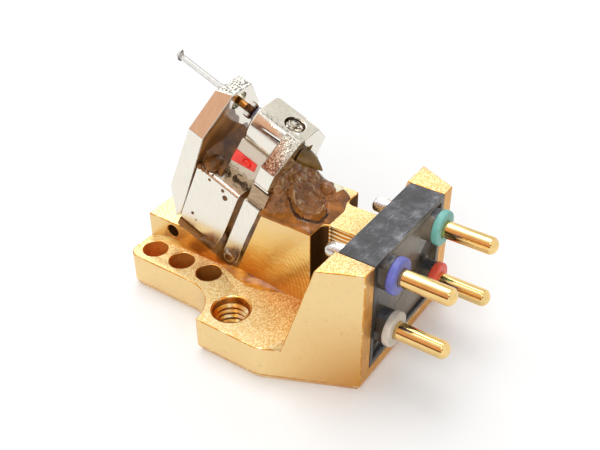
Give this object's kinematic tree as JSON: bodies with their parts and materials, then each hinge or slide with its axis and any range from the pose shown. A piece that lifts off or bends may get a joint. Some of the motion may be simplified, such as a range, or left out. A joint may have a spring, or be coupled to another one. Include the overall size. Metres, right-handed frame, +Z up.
{
  "type": "turntable stylus cartridge",
  "caption": "Open-bodied moving-coil turntable cartridge: gold body with a tilted magnet and yoke generator, sprung cantilever with stylus, and rear terminal pins.",
  "frame": {"origin": "midway between the two mounting holes, on the mounting face", "axes": "+Y towards the stylus, +Z up from the mounting face towards the record, +X to the right seen from the pins"},
  "size_m": [0.017, 0.0245, 0.0172],
  "materials": {
    "body_anodised": "gold anodised, bead-blasted",
    "terminal_plastic": "black moulding",
    "pin_plated": "gold plated, polished",
    "collar_blue": "blue",
    "collar_green": "green",
    "collar_white": "white",
    "collar_red": "red",
    "solder_tin": "bright solder",
    "yoke_plated": "nickel plated soft iron, polished",
    "spacer_metal": "satin grey",
    "magnet_sintered": "sintered, sanded",
    "mark_paint": "red paint",
    "screw_steel": "turned",
    "sleeve_brass": "drawn tube",
    "wire_steel": "drawn wire",
    "damper_rubber": "moulded",
    "former_plastic": "pale grey",
    "coil_enamel": "enamelled copper wire",
    "pipe_metal": "drawn tube",
    "rod_crystal": "polished clear rod",
    "stylus_crystal": "polished",
    "bead_resin": "cured adhesive",
    "adhesive_resin": "cured adhesive, amber to brown",
    "potting_resin": "cured resin, brown"
  },
  "bodies": {
    "root": {"body": "body_anodised", "terminal_block": "terminal_plastic", "front_yoke": "yoke_plated", "rear_yoke": "yoke_plated", "yoke_spacer": "spacer_metal", "rear_leg": "yoke_plated", "pole_block": "yoke_plated", "magnet": "magnet_sintered", "polarity_mark": "mark_paint", "clamp_screw": "screw_steel", "wire_sleeve": "sleeve_brass", "yoke_adhesive": "adhesive_resin", "leg_adhesive": "adhesive_resin", "seat_adhesive": "adhesive_resin", "potting_resin": "potting_resin", "wire_drop": "potting_resin", "terminal_pin_blue": "pin_plated", "pin_collar_blue": "collar_blue", "solder_joint_blue": "solder_tin", "terminal_pin_green": "pin_plated", "pin_collar_green": "collar_green", "solder_joint_green": "solder_tin", "terminal_pin_white": "pin_plated", "pin_collar_white": "collar_white", "solder_joint_white": "solder_tin", "terminal_pin_red": "pin_plated", "pin_collar_red": "collar_red", "solder_joint_red": "solder_tin"},
    "suspension": {"damper_ring": "damper_rubber", "tie_wire": "wire_steel"},
    "stylus_arm": {"cantilever_pipe": "pipe_metal", "cantilever_rod": "rod_crystal", "stylus_diamond": "stylus_crystal", "stylus_bead": "bead_resin", "coil_former": "former_plastic", "coil_left": "coil_enamel", "coil_right": "coil_enamel"}
  },
  "joints": [
    {"name": "lateral_pivot", "type": "hinge", "parent": "root", "child": "suspension", "pos_m": [0, 0.00201, 0.01407], "axis": [0, -0.3786, 0.9255], "range_deg": [-3, 3], "stiffness_Nm_per_rad": 0.005},
    {"name": "vertical_pivot", "type": "hinge", "parent": "suspension", "child": "stylus_arm", "pos_m": [0, 0.00201, 0.01407], "axis": [1, 0, 0], "range_deg": [-3, 3], "stiffness_Nm_per_rad": 0.005}
  ]
}
